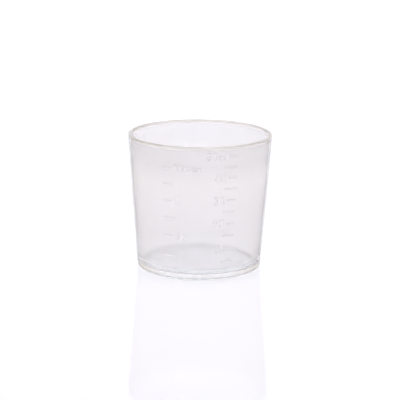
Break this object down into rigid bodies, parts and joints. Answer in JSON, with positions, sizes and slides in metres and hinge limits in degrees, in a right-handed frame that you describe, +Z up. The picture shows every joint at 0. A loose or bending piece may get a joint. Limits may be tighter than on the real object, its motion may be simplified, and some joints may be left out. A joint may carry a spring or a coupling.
{
  "type": "fuel sampler cup",
  "caption": "Tapered translucent plastic cup with raised volume scales, for drawing off and inspecting small samples of liquid.",
  "frame": {"origin": "centre of the foot ring, on the surface that the cup stands on", "axes": "+Z up the cup's axis to the mouth, -Y to the front, where both scales are, +X to the right of the scales seen from the front"},
  "size_m": [0.047, 0.047, 0.0442],
  "materials": {
    "cup_plastic": "natural translucent polypropylene, satin, faintly milky, darker where seen edge on"
  },
  "bodies": {
    "root": {"cup": "cup_plastic"}
  },
  "joints": []
}
